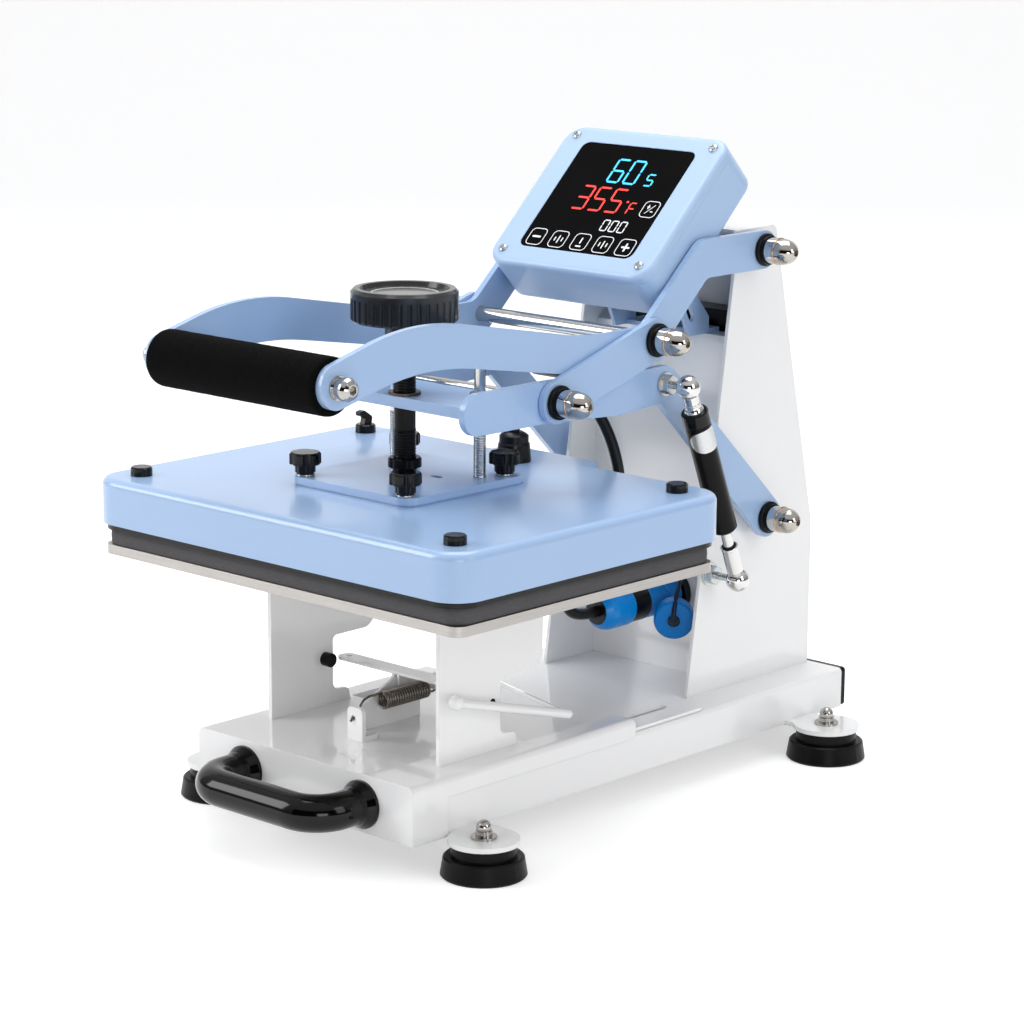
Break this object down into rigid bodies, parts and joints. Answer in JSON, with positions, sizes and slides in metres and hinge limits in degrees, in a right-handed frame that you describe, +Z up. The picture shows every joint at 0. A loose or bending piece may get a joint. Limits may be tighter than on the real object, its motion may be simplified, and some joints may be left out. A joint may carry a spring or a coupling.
{
  "type": "combo heat press",
  "caption": "Clam-shell heat press with slide-out lower platen, toggle handle, gas spring and tilted touch-screen control box.",
  "frame": {"origin": "middle of the length and width, on the surface that the four cups stand on", "axes": "+Z up, -Y towards the user, +X to the user's right"},
  "size_m": [0.315, 0.48, 0.41],
  "materials": {
    "blue_paint": "light blue powder coat, satin",
    "white_paint": "white powder coat, satin",
    "black_foam": "matt closed-cell foam",
    "chrome": "polished",
    "zinc": "zinc plated",
    "black_plastic": "fine texture",
    "gloss_black": "polished",
    "blue_plastic": "polished",
    "blue_casing": "satin",
    "screen_glass": "polished",
    "board": "lacquered",
    "aluminium": "machined edge",
    "brass": "turned",
    "rubber": "matt",
    "silicone": "matt sponge",
    "insulation": "fibre blanket",
    "black_steel": "black, satin"
  },
  "bodies": {
    "root": {"base_channel": "white_paint", "foot_cups": "rubber", "foot_bolts": "chrome", "rear_panel": "black_plastic", "power_inlet": "gloss_black", "guide_pins": "zinc", "tower_sides": "white_paint", "tower_partition": "white_paint", "tower_back": "white_paint", "pivot_axles": "zinc", "pivot_washers": "black_plastic", "pivot_nuts": "chrome", "lower_ball_stud": "zinc", "control_box_back": "blue_casing", "control_box_front": "blue_casing", "touch_screen": "screen_glass", "box_fasteners": "zinc", "control_board": "board", "box_bracket": "blue_paint", "power_module": "black_plastic", "lead_socket": "gloss_black", "lead_plug": "blue_plastic", "socket_cap": "blue_plastic"},
    "switch": {"switch_rocker": "gloss_black"},
    "carriage": {"carriage_shell": "white_paint", "tray_plate": "white_paint", "front_handle": "gloss_black", "posts": "white_paint", "post_thumb_screws": "gloss_black", "lower_platen": "aluminium", "silicone_pad": "silicone", "hold_down_frame": "white_paint", "hold_down_spring": "black_steel"},
    "clamp": {"hold_down_strap": "white_paint"},
    "handle": {"handle_arms": "blue_paint", "grip_tube": "zinc", "foam_grip": "black_foam", "grip_bolts": "chrome"},
    "link": {"link_plates": "blue_paint", "toggle_axle": "chrome", "link_washers": "black_plastic", "link_nuts": "chrome"},
    "arm": {"arm_plates": "blue_paint", "yoke_plate": "blue_paint", "arm_axles": "black_steel", "yoke_bushes": "brass", "upper_ball_stud": "chrome"},
    "platen": {"platen_cover": "blue_paint", "platen_insulation": "insulation", "heating_plate": "aluminium", "pressure_plate": "blue_paint", "guide_rods": "chrome", "corner_caps": "gloss_black", "thumb_knobs": "gloss_black", "lead_gland": "rubber", "platen_lead": "rubber"},
    "spindle": {"spindle": "black_steel", "pressure_knob": "gloss_black"},
    "gas_cylinder": {"gas_cylinder": "black_steel"},
    "gas_rod": {"gas_rod": "chrome"}
  },
  "joints": [
    {"name": "handle_lift", "type": "hinge", "parent": "root", "child": "handle", "pos_m": [0, 0.1615, 0.3389], "axis": [-1, 0, 0], "range_deg": [0, 65]},
    {"name": "link_turn", "type": "hinge", "parent": "handle", "child": "link", "pos_m": [0, 0.049, 0.2937], "axis": [-1, 0, 0], "range_deg": [-104, 0]},
    {"name": "arm_lift", "type": "hinge", "parent": "root", "child": "arm", "pos_m": [0, 0.1715, 0.1604], "axis": [-1, 0, 0], "range_deg": [0, 24], "deforming": ["platen_lead"]},
    {"name": "platen_slide", "type": "slide", "parent": "arm", "child": "platen", "axis": [0, 0, 1], "range_m": [0, 0.01]},
    {"name": "spindle_turn", "type": "hinge", "parent": "platen", "child": "spindle", "pos_m": [0, -0.0935, 0.214], "axis": [0, 0, 1], "range_deg": [0, 1801]},
    {"name": "gas_turn", "type": "hinge", "parent": "arm", "child": "gas_cylinder", "pos_m": [0.094, 0.0634, 0.2636], "axis": [-1, 0, 0], "range_deg": [-3.1, 0]},
    {"name": "gas_slide", "type": "slide", "parent": "gas_cylinder", "child": "gas_rod", "axis": [-0.0435, 0.4155, -0.9086], "range_m": [0, 0.0218]},
    {"name": "carriage_slide", "type": "slide", "parent": "root", "child": "carriage", "axis": [0, -1, 0], "range_m": [0, 0.12]},
    {"name": "clamp_turn", "type": "hinge", "parent": "carriage", "child": "clamp", "pos_m": [0, -0.084, 0.082], "axis": [1, 0, 0], "range_deg": [0, 12]},
    {"name": "switch_rock", "type": "hinge", "parent": "root", "child": "switch", "pos_m": [-0.044, 0.2355, 0.03405], "axis": [0, 0, 1], "range_deg": [-16, 0]}
  ],
  "couplings": [
    {"joint": "link_turn", "follows": "handle_lift", "ratio": -1.5943},
    {"joint": "arm_lift", "follows": "handle_lift", "ratio": 0.36669},
    {"joint": "gas_turn", "follows": "handle_lift", "ratio": -0.04627},
    {"joint": "gas_slide", "follows": "handle_lift", "m_per_rad": 0.019148},
    {"joint": "spindle_turn", "follows": "platen_slide", "rad_per_m": 3141.6}
  ]
}
